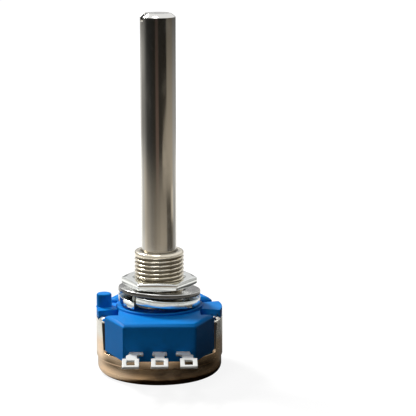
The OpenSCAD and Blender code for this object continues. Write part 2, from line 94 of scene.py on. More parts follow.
# %% A socket that behaves like a number
class Value:
    """One output of a node, used in sums and products like a number."""

    def __init__(self, network, socket):
        self.network, self.socket = network, socket

    def math(self, operation, first, second=0.0):
        return self.network.node("ShaderNodeMath", {"operation": operation}, {0: first, 1: second})

    def __add__(self, other):
        return self.math("ADD", self, other)

    def __sub__(self, other):
        return self.math("SUBTRACT", self, other)

    def __rsub__(self, other):
        return self.math("SUBTRACT", other, self)

    def __mul__(self, other):
        return self.math("MULTIPLY", self, other)

    def __truediv__(self, other):
        return self.math("DIVIDE", self, other)

    def __pow__(self, other):
        return self.math("POWER", self, other)

    def __abs__(self):
        return self.math("ABSOLUTE", self)

    __radd__, __rmul__ = __add__, __mul__

    def most(self, other):
        """The larger of this value and another."""
        return self.math("MAXIMUM", self, other)

    def toward(self, other, share):
        """This value where the share is 0, the other where it is 1, and a mixture between."""
        return self + (other - self) * share

    def between(self, low, high):
        """0 below low, 1 above high, and a smooth step from one to the other."""
        return self.network.node("ShaderNodeMapRange", {"interpolation_type": "SMOOTHSTEP"},
                                 {"Value": self, "From Min": low, "From Max": high})


print("sockets can be added, multiplied and compared")

# %% [markdown]
# ## Node trees and finishes
#
# Every node that isn't arithmetic comes from one method, in the finishes and in the
# surroundings alike: it takes the node's type, its settings, and the values or links of
# its sockets. A finish is such a tree around one Principled shader. What is the same all
# over a surface is set on the shader itself, and what varies is worked out from the
# object's own coordinates, so a pattern keeps its place when the piece turns.


# %% The node tree and the finish
class Network:
    """An empty node tree, and the one method that adds nodes to it."""

    def __init__(self, tree):
        self.tree = tree
        tree.nodes.clear()

    def node(self, kind, settings, sockets, output=0):
        """Adds a node of this kind: its settings first, then a value or a link for each socket.
        The last node of a tree has no output, and gives nothing back."""
        made = self.tree.nodes.new(kind)
        for key, value in settings.items():
            setattr(made, key, value)
        for key, value in sockets.items():
            self.feed(made.inputs[key], value)
        return None if output is None else Value(self, made.outputs[output])

    def feed(self, socket, value):
        if isinstance(value, Value):
            self.tree.links.new(value.socket, socket)
        else:
            socket.default_value = value

    def parts(self, vector):
        """The x, y and z of a vector."""
        split = self.node("ShaderNodeSeparateXYZ", {}, {0: vector}).socket.node
        return [Value(self, split.outputs[axis]) for axis in range(3)]

    def seen_directly(self):
        """1 for what the camera, a polished surface or clear glass sees, 0 for all other light."""
        direct = self.node("ShaderNodeLightPath", {}, {}, "Is Camera Ray")
        rays = direct.socket.node.outputs
        glossy, through = Value(self, rays["Is Glossy Ray"]), Value(self, rays["Is Transmission Ray"])
        return direct.most(glossy).most(through)


class Finish(Network):
    """A material around one Principled shader, with the shortcuts that every finish here uses."""

    def __init__(self, name, **constants):
        self.material = bpy.data.materials.new(name)
        self.material.use_nodes = True
        super().__init__(self.material.node_tree)
        surface = self.node("ShaderNodeBsdfPrincipled", {}, {})
        self.shader = surface.socket.node
        self.node("ShaderNodeOutputMaterial", {}, {0: surface}, None)
        for socket, value in constants.items():
            self.shader.inputs[socket.replace("_", " ")].default_value = value
        self.place = self.node("ShaderNodeTexCoord", {}, {}, "Object")
        self.x, self.y, self.z = self.parts(self.place)

    def noise(self, size, stretch=(1, 1, 1), detail=2.0, rough=0.5):
        """Cloudy noise whose lumps are about `size` metres, drawn out along an axis by `stretch`."""
        scale = [1.0 / (size * s) for s in stretch]
        vector = self.node("ShaderNodeMapping", {}, {"Vector": self.place, "Scale": scale})
        return self.node("ShaderNodeTexNoise", {},
                         {"Vector": vector, "Scale": 1.0, "Detail": detail, "Roughness": rough})

    def blend(self, factor, first, second):
        """A colour between two others: first where the factor is 0, second where it is 1."""
        colours = [c if isinstance(c, Value) else (*c, 1.0) for c in (first, second)]
        return self.node("ShaderNodeMix", {"data_type": "RGBA"},
                         {0: factor, 6: colours[0], 7: colours[1]}, 2)

    def tinted(self, red, green, blue):
        """A colour from its three parts."""
        return self.node("ShaderNodeCombineColor", {}, {0: red, 1: green, 2: blue})

    def finish_with(self, colour, roughness=None, height=None, depth=0.0):
        """Feeds the varying inputs: depth is how many metres a height of 1 stands proud."""
        self.feed(self.shader.inputs["Base Color"], colour)
        if roughness is not None:
            self.feed(self.shader.inputs["Roughness"], roughness)
        if height is not None:
            bump = self.node("ShaderNodeBump", {}, {"Height": height, "Distance": depth, "Strength": 1.0})
            self.feed(self.shader.inputs["Normal"], bump)


print("shader helpers ready")

# %% [markdown]
# ## The floor
#
# The picture has a white ground. A floor can be made white with strong lamps, but they
# would also bleach the metal. Instead it is a matt grey sheet under plain light with
# light of its own, and that light is there only for the camera and the polished metal:
# it lifts the open floor to white, and the soft shadow beside the unit still shows.


# %% Lay the floor
FLOOR_RADIUS, FLOOR_STEPS = 3.0, (24, 96)


def flat_sheet(name, radius_in, radius_out, height, steps, finish):
    """A flat disc or ring: the point at (r, a) is (r cos a, r sin a, height)."""
    r = np.linspace(radius_in, radius_out, steps[0])[:, None]
    a = np.linspace(0, 2 * np.pi, steps[1])[None, :]
    points = np.stack([r * np.cos(a), r * np.sin(a), np.full(r.shape, height) + 0 * a], axis=2)
    index = np.arange(steps[0] * steps[1]).reshape(steps)
    quads = np.stack([index[:-1, :-1], index[1:, :-1], index[1:, 1:], index[:-1, 1:]], axis=2)
    mesh = bpy.data.meshes.new(name)
    mesh.from_pydata(points.reshape(-1, 3).tolist(), [], quads.reshape(-1, 4).tolist())
    mesh.materials.append(finish.material)
    piece = bpy.data.objects.new(name, mesh)
    bpy.context.collection.objects.link(piece)
    return piece


pale = Finish("pale_floor", Roughness=0.9, Specular_IOR_Level=0.0, Emission_Strength=1.0)
away = (pale.x * pale.x + pale.y * pale.y) ** 0.5
glow = (0.90 + 0.10 * away.between(0.05, 0.6)) * pale.seen_directly()
pale.feed(pale.shader.inputs["Emission Color"], pale.tinted(glow, glow, glow))
pale.finish_with(pale.blend(pale.noise(0.05), (0.16, 0.16, 0.16), (0.18, 0.18, 0.18)))
floor = flat_sheet("floor", 0.0, FLOOR_RADIUS, 0.0, FLOOR_STEPS, pale)
print("floor", round(floor.dimensions.x, 1), "m across")

# %% [markdown]
# ## Grey cards for the polished metal
#
# A polished bar has almost no colour of its own: it shows the room. In the picture its
# sides are bright and its middle is dark, and it darkens toward the top, because the
# middle mirrors the ground in front of the unit and the top mirrors ground further off.
# A photographer gets this by laying grey cards on the white sheet. One large ring of
# card does it here, and it shows in reflections only: the camera sees the white floor
# through it. An upright wall at a height mirrors the card at one distance, so the card
# is toned by distance and by side.


# %% Distances and sides of the card
card = Finish("grey_card", Roughness=0.9, Specular_IOR_Level=0.0)
reach = (card.x * card.x + card.y * card.y) ** 0.5
left, right, back = (0 - card.x) / reach, card.x / reach, card.y / reach


def ring(start, full, fading, gone):
    """1 on a ring of the card and 0 off it: smooth steps up and down at these distances."""
    return reach.between(start, full) - reach.between(fading, gone)


# The cover and the block mirror the near card. The shaft mirrors all that lies past the
# bushing's share, and its upper part mirrors the far card.
near, past, far = 1 - reach.between(0.05, 0.08), reach.between(0.096, 0.104), reach.between(0.15, 0.26)
lit = reach.between(0.155, 0.210)
in_front = 1 - back.between(-0.2, 0.0)
print("the card is near, past the bushing, or far")

# %% [markdown]
# ## The four sides of the card
#
# In front the card is dark and slightly brown, with one browner stripe that draws a line
# up the shaft. At the left and behind it is pale, which gives the shaft its bright edge.
# At the right a dark wedge shows at the shaft's foot, with a bright streak beside it.

# %% Tone the four sides
# In front: dark, darker further off, with a browner stripe and a pale ring for the bushing's rim.
stripe = left.between(-0.10, 0.0) * (1 - left.between(0.24, 0.36)) * in_front * far
front_tone = 0.38 - 0.02 * near - 0.32 * far - 0.08 * reach.between(0.12, 0.15) * (1 - far) \
    + 0.10 * stripe + 0.10 * past * right.between(0.0, 0.3) * (1 - far) \
    + 0.20 * ring(0.085, 0.088, 0.098, 0.101)

# At the left: pale, a little darker close to the cover and far off.
left_tone = 0.90 - 0.20 * past + near * (0.45 * reach.between(0.018, 0.022) - 0.34) \
    - 0.20 * reach.between(0.11, 0.13) - 0.32 * reach.between(0.175, 0.30) + 0.10 * reach.between(0.37, 0.55)

# At the right: a dark wedge that the shaft's foot mirrors, pale past it, with a bright streak.
streak = back.between(-0.15, 0.05) * (1 - back.between(0.30, 0.45)) * ring(0.134, 0.142, 0.180, 0.190)
right_tone = 0.10 + 0.60 * lit + 0.38 * (1 - lit) * past * back.between(0.0, 0.5) \
    + 0.20 * near * back.between(0.6, 0.95) + 0.60 * streak

# Behind: pale, and grey further off.
back_tone = 0.95 - 0.48 * reach.between(0.20, 0.30)

# The four sides meet in soft steps, and the shaft's share has its own.
left_share = left.between(0.45, 0.95) * (1 - past) + left.between(0.3, 0.5) * back.between(-0.35, 0.30) * past
right_start = 0.3 + 0.44 * past - 0.40 * lit + 0.44 * reach.between(0.22, 0.38)
right_end = right_start + 0.5 - 0.38 * past
right_share = (right + 0.6 * past * back.most(0.0)).between(right_start, right_end)
back_share = back.between(0.55, 0.90) * (1 - near * right.between(0.0, 0.3))
dusk = past * left.between(0.05, 0.45) * (1 - left.between(0.70, 0.97)) * (1 - back.between(-0.3, 0.0))
tone = front_tone.toward(left_tone, left_share).toward(right_tone, right_share)
tone = tone.toward(back_tone, back_share) * (1 - 0.28 * dusk)
print("four sides toned for the shaft")

# %% [markdown]
# ## The near part of the card
#
# The lugs, the washers, the nut and the thread mirror a band of the card from 3 to 9 cm
# out, which is pale because these pieces are bright in the picture. It dips for the lock
# washer's lower edge, and a thin dark line in it draws the lower edge of the nut. Closer
# in, a few rings paint the shade and highlight lines of the cover's wall, and the last one
# is dark where the cover meets the floor: a painted contact shadow.

# %% Tone the near part
band_end = 0.0885 + 0.006 * (right * right)
band = (reach.between(0.029, 0.034) * (1 - right.between(0.2, 0.6))).most(reach.between(0.056, 0.062)) \
    * (1 - reach.between(band_end, band_end + 0.002))
dip = ring(0.044, 0.050, 0.055, 0.063)
nut_line = (1 - left.between(0.3, 0.6) - right.between(0.3, 0.6)) * ring(0.0702, 0.0712, 0.0765, 0.0785)
low_left = left.between(0.3, 0.8) * (1 - reach.between(0.064, 0.068))
tone = tone.toward(0.95 - 0.42 * dip - 0.70 * nut_line - 0.22 * low_left, band)
# Rings of painted shade and highlight, which the cover's wall mirrors as its lines.
wall_shade_and_highlight_lines = 0.3 - 1.24 * reach.between(0.0160, 0.0180) + 0.34 * reach.between(0.0215, 0.0240) \
    + 0.60 * reach.between(0.0275, 0.0290)
tone = tone * (1 + (1 - back.between(-0.2, 0.3)) * wall_shade_and_highlight_lines)
# A painted contact shadow on the innermost ring, where the cover meets the floor. For light it scatters onto
# the unit, the card is a quarter as bright.
contact_shadow_ring = (0.86 - 0.60 * left.between(0.2, 0.7)) * (1 - reach.between(0.0125, 0.0138))
tone = tone * (1 - contact_shadow_ring) * (0.25 + 0.75 * card.seen_directly())
print("near part toned for the nut, the washers, the lugs and the cover")

# %% [markdown]
# ## Laying the card
#
# The front and the right of the card are slightly brown, because the shaft looks warm in
# the picture. The left, the back and the pale band are closer to neutral. The card lies a
# hair above the floor and casts no shadow, so the floor keeps only the unit's own.

# %% Lay the card
CARD_INNER, CARD_OUTER, CARD_HEIGHT, CARD_STEPS = 0.0099, 2.5, 0.00003, (60, 96)
warm = ring(0.07, 0.09, 0.20, 0.26)
neutral = (left.between(0.3, 0.8) * (1 - 0.6 * warm)).most(back.between(0.1, 0.4)).most(band)
card.finish_with(card.tinted(tone * (1.08 - 0.08 * neutral + 0.30 * stripe),
                             tone * (0.96 + 0.04 * neutral), tone * (0.79 + 0.20 * neutral)))
ring_card = flat_sheet("ring_card", CARD_INNER, CARD_OUTER, CARD_HEIGHT, CARD_STEPS, card)
ring_card.visible_camera = ring_card.visible_shadow = False
print("ring card", CARD_OUTER, "m in radius, seen in reflections only")

# %% [markdown]
# ## Lamps
#
# The blue top of the housing is five times brighter than its front, and the left facet
# is half as bright as the top: so the main lamp stands high on the left and behind, and
# it is large, because the shadows are soft. A weak second lamp above lights the faces
# that the first one only grazes.


# %% Hang the lamps
def softbox(name, place, aim, size, watts, colour=(1.0, 1.0, 1.0)):
    """A square lamp of this size in metres that stands at `place` and faces `aim`."""
    lamp = bpy.data.lights.new(name, "AREA")
    lamp.shape, lamp.size, lamp.energy, lamp.color = "SQUARE", size, watts, colour
    holder = bpy.data.objects.new(name, lamp)
    bpy.context.collection.objects.link(holder)
    holder.location = place
    holder.rotation_euler = (Vector(aim) - Vector(place)).to_track_quat("-Z", "Y").to_euler()


UNIT_MIDDLE, LAMP_SIZE = (0, 0, 0.015), 0.20
softbox("key_softbox", (-0.40, 0.35, 0.55), UNIT_MIDDLE, LAMP_SIZE, 6.6, (1.0, 0.99, 0.97))
softbox("top_softbox", (-0.10, -0.08, 0.60), UNIT_MIDDLE, LAMP_SIZE, 0.9)
print("two soft lamps,", LAMP_SIZE, "m wide")

# %% [markdown]
# ## Surroundings
#
# A picture of a room could light the metal, but a few steps of tone do it too, and each
# can be set for the face that mirrors it. The surroundings are pale for the camera.
# Reflections see them pale near the horizon, grey above it and pale overhead, as in a
# room with a bright ceiling, and all other light from them is a weak plain fill.

# %% Light the surroundings
FILL = 0.015
surroundings = bpy.data.worlds.new("surroundings")
bpy.context.scene.world = surroundings
surroundings.use_nodes = True
sky = Network(surroundings.node_tree)
_, ahead, up = sky.parts(sky.node("ShaderNodeTexCoord", {}, {}, "Generated"))
room = (0.90 - 0.70 * up.between(0.090, 0.100) + 0.80 * up.between(0.15, 0.26)) \
    * (0.90 + 0.10 * ahead.between(-0.92, -0.60))
pale_or_room = sky.node("ShaderNodeLightPath", {}, {}, "Is Camera Ray").most(room)
strength = FILL + (pale_or_room - FILL) * sky.seen_directly()
light = sky.node("ShaderNodeBackground", {}, {"Color": (0.8, 0.8, 0.8, 1.0), "Strength": strength})
sky.node("ShaderNodeOutputWorld", {}, {0: light}, None)
print("surroundings give a fill of", FILL)

# %% [markdown]
# ## Surfaces from formulas
#
# A turned or rolled piece is a function of two numbers: how far round, and how far along
# its profile. The function below takes the whole grid of points at once, joins it into
# quads, closes it round either way, caps open ends, and turns the faces outward by the
# sign of the enclosed volume.


# %% A grid of points becomes a piece
SHARP = math.radians(48)


def piece_from_grid(name, points, node, body, finish, cap=False):
    """points[i, j] is the point at step i round and step j along. Both ways close, unless cap is
    set: then step i runs from one open end to the other, and each end gets a flat face. The
    volume is the sum over the quads of corner . (next corner x the one after), times a constant."""
    count_u, count_v = points.shape[:2]
    index = np.arange(count_u * count_v).reshape(count_u, count_v)
    following = index[1:] if cap else np.roll(index, -1, axis=0)
    here = index[:-1] if cap else index
    quads = np.stack([here, following, np.roll(following, -1, axis=1), np.roll(here, -1, axis=1)], axis=2)
    quads = quads.reshape(-1, 4)
    flat = points.reshape(-1, 3)
    corner = flat[quads]
    volume = (corner[:, 0] * np.cross(corner[:, 1], corner[:, 2])).sum() \
        + (corner[:, 0] * np.cross(corner[:, 2], corner[:, 3])).sum()
    faces = quads.tolist()
    if cap:
        faces += [index[0].tolist(), index[-1][::-1].tolist()]
    if volume < 0:
        faces = [face[::-1] for face in faces]
    mesh = bpy.data.meshes.new(name)
    mesh.from_pydata(flat.tolist(), [], faces)
    mesh.polygons.foreach_set("use_smooth", np.ones(len(faces), dtype=bool))
    mesh.set_sharp_from_angle(angle=SHARP)
    piece = bpy.data.objects.new(name, mesh)
    bpy.context.collection.objects.link(piece)
    mesh.materials.append(finish.material)
    piece.modifiers.new("shading", "WEIGHTED_NORMAL").keep_sharp = True
    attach(piece, body)
    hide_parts(node)
    low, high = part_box(node)
    off = np.abs(np.concatenate([flat.min(0) - np.array(low), flat.max(0) - np.array(high)])).max()
    print(name, len(faces), "faces, box off by", round(off / MM, 3), "mm")


def corner_round(points, radius, steps=4):
    """Points of a closed profile whose corners are arcs: each corner is drawn as a quadratic curve
    from `radius` before it to `radius` after it, which is close to the arc of that radius."""
    points = np.asarray(points, dtype=float)
    radius = np.broadcast_to(radius, len(points))
    before = np.roll(points, 1, axis=0) - points
    after = np.roll(points, -1, axis=0) - points
    start = points + before / np.linalg.norm(before, axis=1)[:, None] * radius[:, None]
    stop = points + after / np.linalg.norm(after, axis=1)[:, None] * radius[:, None]
    t = np.linspace(0, 1, steps + 1)[None, :, None]
    curve = (1 - t) ** 2 * start[:, None] + 2 * t * (1 - t) * points[:, None] + t ** 2 * stop[:, None]
    return curve.reshape(-1, 2)


print("surface helpers ready")

# %% [markdown]
# ## Softened copies of the moulded and pressed pieces
#
# The housing, the cover, the shaft and the lugs already have their true form, but a
# solid's edges are perfectly sharp and real ones never are: a moulding has a small
# radius everywhere, and a stamped edge rolls over. Modelling these again would only risk
# their sizes. So each is a copy of its solid, merged, with its flat triangles joined
# into whole faces, and then a Bevel modifier rounds every edge sharper than an angle.


# %% Copy a solid and round its edges
SAME_POINT, SAME_PLANE = 2e-6, math.radians(0.8)


def softened(name, node, body, finish, width, segments=2, angle=28):
    """A copy of the node's mesh: points that coincide become one, triangles in one plane become
    one face, and each edge that turns by more than `angle` degrees gets a rounding of `width`."""
    mesh = nodes[node].data.copy()
    mesh.name = name
    shape = bmesh.new()
    shape.from_mesh(mesh)
    bmesh.ops.remove_doubles(shape, verts=shape.verts, dist=SAME_POINT)
    bmesh.ops.dissolve_limit(shape, angle_limit=SAME_PLANE, verts=shape.verts, edges=shape.edges)
    for face in shape.faces:
        face.smooth = True
    shape.to_mesh(mesh)
    shape.free()
    piece = bpy.data.objects.new(name, mesh)
    bpy.context.collection.objects.link(piece)
    mesh.materials.clear()
    mesh.materials.append(finish.material)
    bevel = piece.modifiers.new("edges", "BEVEL")
    bevel.width, bevel.segments, bevel.limit_method = width, segments, "ANGLE"
    bevel.angle_limit = math.radians(angle)
    bevel.use_clamp_overlap = False
    piece.modifiers.new("shading", "WEIGHTED_NORMAL").weight = 60
    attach(piece, body)
    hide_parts(node)
    print(name, len(mesh.polygons), "faces before the bevel")


print("edge softening ready")

# %% [markdown]
# ## The shaft
#
# Round steel stock, ground and then polished. Grinding leaves very fine rings round the
# bar and a faint drift of the tone along it; handling adds a few dull patches. The rings
# are noise drawn out round the axis and squeezed along it, and only a hair deep: deeper
# ones would blur the reflections that make the bar look solid. The chamfer at the end is
# painted far brighter than the ground wall: partly because it is freshly turned, and
# partly as a painted highlight.

# %% Steel of the shaft
steel = Finish("ground_steel", Metallic=1.0)
rings = steel.noise(0.00008, (60, 60, 1), 3.0, 0.6)
drift = steel.noise(0.006, (1, 1, 2.5), 3.0)
dull = steel.noise(0.0018, (1, 1, 3), 4.0).between(0.52, 0.75)
chamfer_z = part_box("shaft")[1][2] - 0.70 * MM
# A bright band at the chamfer: freshly turned metal and a painted highlight together.
turned_and_highlight = steel.z.between(chamfer_z - 0.05 * MM, chamfer_z + 0.05 * MM)
ground = steel.blend(drift, (0.57, 0.55, 0.51), (0.67, 0.65, 0.60))
steel.finish_with(
    colour=steel.blend(turned_and_highlight, ground, (0.93, 0.92, 0.89)),
    roughness=0.07 + 0.05 * rings + 0.06 * dull,
    height=rings, depth=4e-7)
softened("shaft_bar", "shaft", "turning_shaft", steel, 0.00006, angle=25)

# %% [markdown]
# ## The threaded bushing
#
# A turned part with a fine thread, nickel plated. The turns could be drawn with a bump,
# but its outline would stay straight and they are plain to see beside the nut. So the
# thread is real: the profile is carried round the axis, and where it climbs the threaded
# stretch its radius drops into a groove that itself climbs one pitch for each turn. The
# plating is warm and bright on the crests. The grooves are darkened by their radius, partly
# for oil and dust and partly as painted shade, and the gap between the rim and the shaft
# is darkened too, as painted shade.


# %% Turn the bushing with its thread
THREAD_R, THREAD_PITCH, BORE_R, RIM_R = 4.5 * MM, 0.75 * MM, 3.03 * MM, 0.42 * MM
GROOVE, CREST_SHARE, FLANK_SHARE = 0.40 * MM, 0.16, 0.62
FLANGE_ACROSS, FLANGE_SHARPNESS = 12.2 * MM, 200
FLANGE_Z, FLANGE_TOP, SEAT_Z, TOP_Z = 9.35 * MM, 10.95 * MM, 12.55 * MM, 22.55 * MM


def hexagon(angle, across, sharpness):
    """Radius of a six-sided bar at each angle: half the width across flats divided by a soft
    maximum of the six cosines, so a lower sharpness gives rounder corners."""
    flats = np.radians(np.arange(6) * 60 + 30)
    facing = np.clip(np.cos(angle[..., None] - flats), 0, None) ** sharpness
    return across / 2 / facing.sum(axis=-1) ** (1 / sharpness)


def bushing_points(round_steps=144, turn_steps=14):
    """r(a, s) = profile(s) - groove * wave(z / pitch - a / 2 pi), where the wave is a V with a flat
    crest and root, faded out under the rim and above the mounting face."""
    arc = np.radians(np.linspace(0, 90, 9))
    climb = np.arange(SEAT_Z - 0.5 * MM, TOP_Z - RIM_R, THREAD_PITCH / turn_steps)
    r = np.concatenate([[BORE_R, THREAD_R, THREAD_R], np.full(len(climb), THREAD_R),
                        THREAD_R - RIM_R + RIM_R * np.cos(arc), [BORE_R + 0.3 * MM, BORE_R]])
    z = np.concatenate([[FLANGE_Z, FLANGE_Z, FLANGE_TOP], climb,
                        TOP_Z - RIM_R + RIM_R * np.sin(arc), [TOP_Z, TOP_Z - 0.15 * MM]])
    a = np.linspace(0, 2 * np.pi, round_steps, endpoint=False)[:, None]
    phase = np.abs((z[None, :] / THREAD_PITCH - a / (2 * np.pi)) % 1.0 - 0.5) * 2
    wave = np.clip((phase - CREST_SHARE) / FLANK_SHARE, 0, 1)
    wave = wave * wave * (3 - 2 * wave)
    fade = np.clip((TOP_Z - 0.62 * MM - z) / (0.3 * MM), 0, 1) * np.clip((z - SEAT_Z) / (0.2 * MM), 0, 1)
    radius = r[None, :] - GROOVE * wave * fade[None, :]
    radius[:, 1:3] = hexagon(a, FLANGE_ACROSS, FLANGE_SHARPNESS)
    radius = np.insert(radius, 3, THREAD_R, axis=1)
    z = np.insert(z, 3, FLANGE_TOP)
    return np.stack([radius * np.cos(a), radius * np.sin(a), np.broadcast_to(z, radius.shape)], axis=2)


nickel = Finish("nickel_plate", Metallic=1.0)
tarnish = nickel.noise(0.0012, detail=4.0)
fine = nickel.noise(0.00006, (30, 30, 1), 2.0)
radius = (nickel.x * nickel.x + nickel.y * nickel.y) ** 0.5
rim_top = nickel.z.between(TOP_Z - 0.65 * MM, TOP_Z - 0.35 * MM) \
    * radius.between(BORE_R + 0.37 * MM, BORE_R + 0.57 * MM)
# Off the crests and the rim's top the colour is dark: oil and dust and painted shade in the grooves, and
# painted shade in the gap round the shaft.
crest = radius.between(THREAD_R - 0.38 * MM, THREAD_R - 0.08 * MM).most(rim_top)
plate = nickel.blend(tarnish, (0.79, 0.72, 0.59), (0.96, 0.90, 0.76))
nickel.finish_with(
    colour=nickel.blend(crest, (0.22, 0.19, 0.14), plate),
    roughness=0.34 - 0.20 * crest + 0.06 * fine + 0.08 * tarnish.between(0.5, 0.8), height=fine, depth=6e-7)
piece_from_grid("threaded_bushing", bushing_points(), "bushing", "base", nickel)

# %% [markdown]
# ## The nut
#
# A pressed hexagon, chamfered above and below, so each flat ends in a shallow arch where
# the chamfer's cone meets it. The arch could be cut with a cone, but it comes by itself
# when the height of the top face falls with the radius: at a corner, which is further
# out, it falls further.


# %% Press the nut
NUT_LOW, NUT_HIGH = (corner[2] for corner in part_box("hex_nut"))
NUT_ACROSS, NUT_SHARPNESS, NUT_TURN = 12.0 * MM, 110, math.radians(3)


def nut_points(steps=240):
    """Profile from the bore out over the top, down the side and back under: on the top face
    z = height - slope * max(0, r - inner radius), and the side stands at the hexagon's radius."""
    tall = NUT_HIGH - NUT_LOW
    a = np.linspace(0, 2 * np.pi, steps, endpoint=False)[:, None]
    outer = hexagon(a + NUT_TURN, NUT_ACROSS, NUT_SHARPNESS)
    inner, slope, hole, soft = 5.9 * MM, 0.2115, 4.52 * MM, 0.07 * MM
    out = np.concatenate([np.linspace(0, 0.9, 10), [0.96]])
    r_top = (hole + 0.25 * MM) + (outer - soft - hole - 0.25 * MM) * out
    r_top = np.concatenate([r_top, outer - soft, outer - 0.3 * soft], axis=1)
    z_top = tall - slope * np.clip(r_top - inner, 0, None)
    z_top[:, -1:] -= 0.3 * soft
    side = tall - slope * np.clip(outer - inner, 0, None) - soft
    r_side = np.repeat(outer, 2, axis=1)
    z_side = np.concatenate([side, tall - side], axis=1)
    r_hole = np.full((steps, 4), hole)
    z_hole = np.broadcast_to([0.25 * MM, 0.5 * MM, tall - 0.5 * MM, tall - 0.25 * MM], (steps, 4))
    radius = np.concatenate([r_top, r_side, r_top[:, ::-1], r_hole], axis=1)
    height = np.concatenate([z_top, z_side, tall - z_top[:, ::-1], z_hole], axis=1) + NUT_LOW
    return np.stack([radius * np.cos(a), radius * np.sin(a), height], axis=2)


bright = Finish("bright_nickel", Metallic=1.0)
wear = bright.noise(0.0009, detail=5.0, rough=0.6)
scratch = bright.noise(0.0001, (1, 12, 12), 2.0)
bright.finish_with(
    colour=bright.blend(wear, (0.82, 0.84, 0.82), (0.93, 0.95, 0.93)),
    roughness=0.05 + 0.06 * wear.between(0.45, 0.8) + 0.04 * scratch, height=scratch, depth=3e-7)
piece_from_grid("pressed_nut", nut_points(), "hex_nut", "base", bright)

# %% [markdown]
# ## The flat washer
#
# A washer is punched from sheet: the punch rolls the upper edge over and leaves the lower
# one square. It lies askew, because the sprung end of the lock washer under it lifts one
# side. The profile has a large radius above and a small one below, and the whole ring is
# then leaned about the two axes by the angles at which it rests. The punched wall is
# darker than the faces, partly because it was never polished and partly as painted shade;
# its mask is measured in the washer's own leaned axes.


# %% Punch the flat washer
def leaned(points, front, side):
    """Rotation about X by -front, then about Y by side, in degrees."""
    c, s = math.cos(math.radians(-front)), math.sin(math.radians(-front))
    about_x = np.array([[1, 0, 0], [0, c, -s], [0, s, c]])
    c, s = math.cos(math.radians(side)), math.sin(math.radians(side))
    about_y = np.array([[c, 0, s], [0, 1, 0], [-s, 0, c]])
    return points @ (about_y @ about_x).T


def ring_points(outer, inner, thick, radii, steps=144):
    """A rectangle with rounded corners carried round the axis."""
    profile = corner_round([(inner, 0), (outer, 0), (outer, thick), (inner, thick)], radii)
    a = np.linspace(0, 2 * np.pi, steps, endpoint=False)[:, None]
    r, z = profile[None, :, 0], profile[None, :, 1]
    return np.stack([r * np.cos(a), r * np.sin(a), z + 0 * a], axis=2)


WASHER_R, WASHER_BORE_R, WASHER_THICK = 7.5 * MM, 4.8 * MM, 0.75 * MM
LEAN_FRONT, LEAN_SIDE = 3.5, 3.2
flat_ring = ring_points(WASHER_R, WASHER_BORE_R, WASHER_THICK, np.array([0.05, 0.06, 0.2, 0.15]) * MM)
flat_ring = leaned(flat_ring, LEAN_FRONT, LEAN_SIDE)
seat = float(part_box("flat_washer")[0][2] - flat_ring[..., 2].min())
flat_ring[..., 2] += seat
zinc = Finish("zinc_plate", Metallic=1.0)
cloud = zinc.noise(0.0020, detail=3.0, rough=0.5)
lines = zinc.noise(0.00010, (1, 25, 25), 2.0)
axis = [float(part) for part in leaned(np.array([0.0, 0.0, 1.0]), LEAN_FRONT, LEAN_SIDE)]
rise = zinc.z - seat
along = axis[0] * zinc.x + axis[1] * zinc.y + axis[2] * rise
from_axis = (zinc.x * zinc.x + zinc.y * zinc.y + rise * rise - along * along) ** 0.5
# The outer wall gets a dark colour: unpolished bare metal, and painted shade on the upright side.
wall_bare_and_shaded = from_axis.between(WASHER_R - 0.025 * MM, WASHER_R - 0.008 * MM)
faces = zinc.blend(cloud, (0.52, 0.52, 0.51), (0.72, 0.72, 0.70))
zinc.finish_with(
    colour=zinc.blend(wall_bare_and_shaded, faces, (0.15, 0.147, 0.14)),
    roughness=0.16 + 0.08 * cloud.between(0.4, 0.75) + 0.04 * lines, height=lines, depth=1e-7)
piece_from_grid("flat_washer_ring", flat_ring, "flat_washer", "base", zinc)

# %% [markdown]
# ## The split lock washer
#
# Flat spring wire coiled once and cut, so one end stands higher than the other and its
# end face shows. A ring with a gap would look flat; the wire here follows the same rising
# turn as the solid, with its corners rounded as rolled wire has them.


# %% Coil the lock washer
COIL_END, COIL_SPAN, COIL_RISE, COIL_LEAN = -124, 356.5, 1.09 * MM, math.radians(4.3)
WIRE_TALL, WIRE_ROUND = 1.3, 0.16


def lock_points(steps=180):
    """Path: angle(k) = end + span (1 - k), height(k) = rise (0.78 k + 0.22 k^6) less r cos(angle)
    tan(lean), for k from 0 to 1; the section is a rectangle with rounded corners."""
    k = np.linspace(0, 1, steps)[:, None]
    angle = np.radians(COIL_END + COIL_SPAN * (1 - k))
    profile = corner_round([(4.8, 0), (7.5, 0), (7.5, WIRE_TALL), (4.8, WIRE_TALL)], WIRE_ROUND) * MM
    r, z = profile[None, :, 0], profile[None, :, 1]
    lift = COIL_RISE * (0.78 * k + 0.22 * k ** 6) - r * np.cos(angle) * math.tan(COIL_LEAN)
    points = np.stack([r * np.cos(angle), r * np.sin(angle), lift + z], axis=2)
    points[..., 2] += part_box("lock_washer")[0][2] - points[..., 2].min()
    return points


spring = Finish("plated_spring_steel", Metallic=1.0)
grain = spring.noise(0.0007, detail=5.0, rough=0.6)
drawn = spring.noise(0.00015, (10, 10, 1), 2.0)
spring.finish_with(
    colour=spring.blend(grain, (0.78, 0.82, 0.81), (0.90, 0.94, 0.92)),
    roughness=0.10 + 0.10 * grain.between(0.45, 0.8) + 0.04 * drawn, height=drawn, depth=4e-7)
piece_from_grid("split_washer_coil", lock_points(), "lock_washer", "base", spring, cap=True)

# %% [markdown]
# ## The moulded housing
#
# Blue thermoplastic out of a lightly sparked mould: satin, not glossy, with a very fine
# grain, and a slightly deeper blue where the melt ran. Its edges catch a thin line of
# light, which is the moulding radius at work. Those radii could be cut into every corner
# by hand; a bevel on a copy of the solid makes them all alike, as one mould does. The
# sheen is kept low, because this blue stays deep even where it faces the white room.

